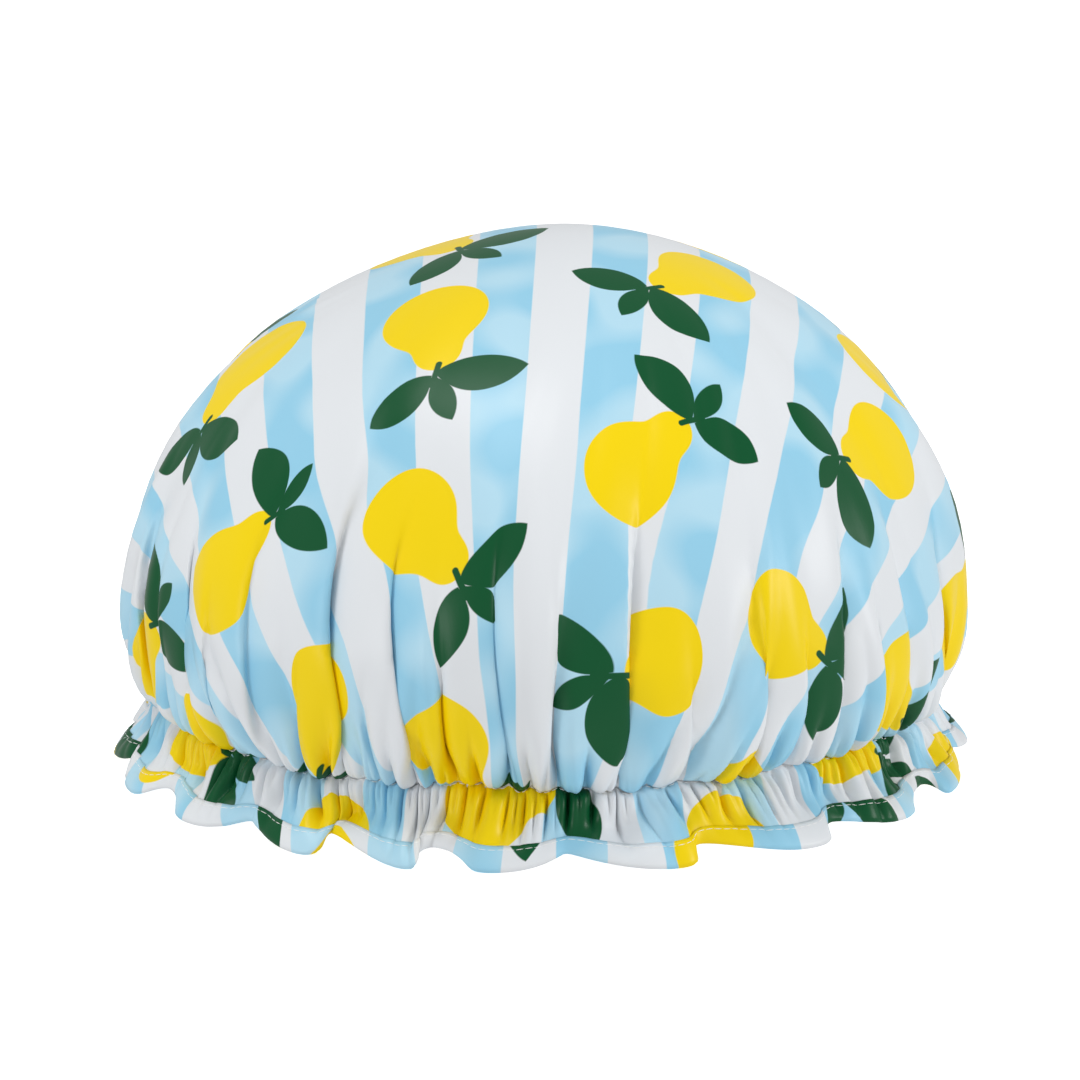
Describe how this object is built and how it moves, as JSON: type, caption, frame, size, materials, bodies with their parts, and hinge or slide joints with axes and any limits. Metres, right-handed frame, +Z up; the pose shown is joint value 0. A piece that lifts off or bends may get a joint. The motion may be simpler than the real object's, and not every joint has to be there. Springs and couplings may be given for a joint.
{
  "type": "shower cap",
  "caption": "Puffed cloth shower cap with a waterproof lining, a covered elastic gathering its mouth and a waved frill below it.",
  "frame": {"origin": "on the surface that the cap stands on, under the middle of its mouth", "axes": "+Z up through the crown, -Y towards the front, +X to the right seen from the front; the back seams of the frill lie at +Y"},
  "size_m": [0.2888, 0.2886, 0.182],
  "materials": {
    "printed_satin": "soft satin sheen; pale blue and white stripes with yellow fruit and green leaves",
    "printed_satin_band": "the same printed satin, folded double round the edge",
    "waterproof_film": "milky white waterproof film with a low gloss",
    "casing_tape": "plain matt white woven tape",
    "woven_elastic": "matt white, woven over rubber cores",
    "sewing_thread": "matt white spun polyester"
  },
  "bodies": {
    "root": {"crown_shell": "printed_satin", "waterproof_lining": "waterproof_film", "frill": "printed_satin", "hem_band": "printed_satin_band", "casing_tape": "casing_tape", "elastic_band": "woven_elastic", "elastic_join_thread": "sewing_thread", "gather_seam_thread": "sewing_thread", "casing_seam_thread": "sewing_thread", "hem_seam_thread": "sewing_thread", "frill_join_thread": "sewing_thread", "band_join_thread": "sewing_thread", "tape_join_thread": "sewing_thread"}
  },
  "joints": []
}
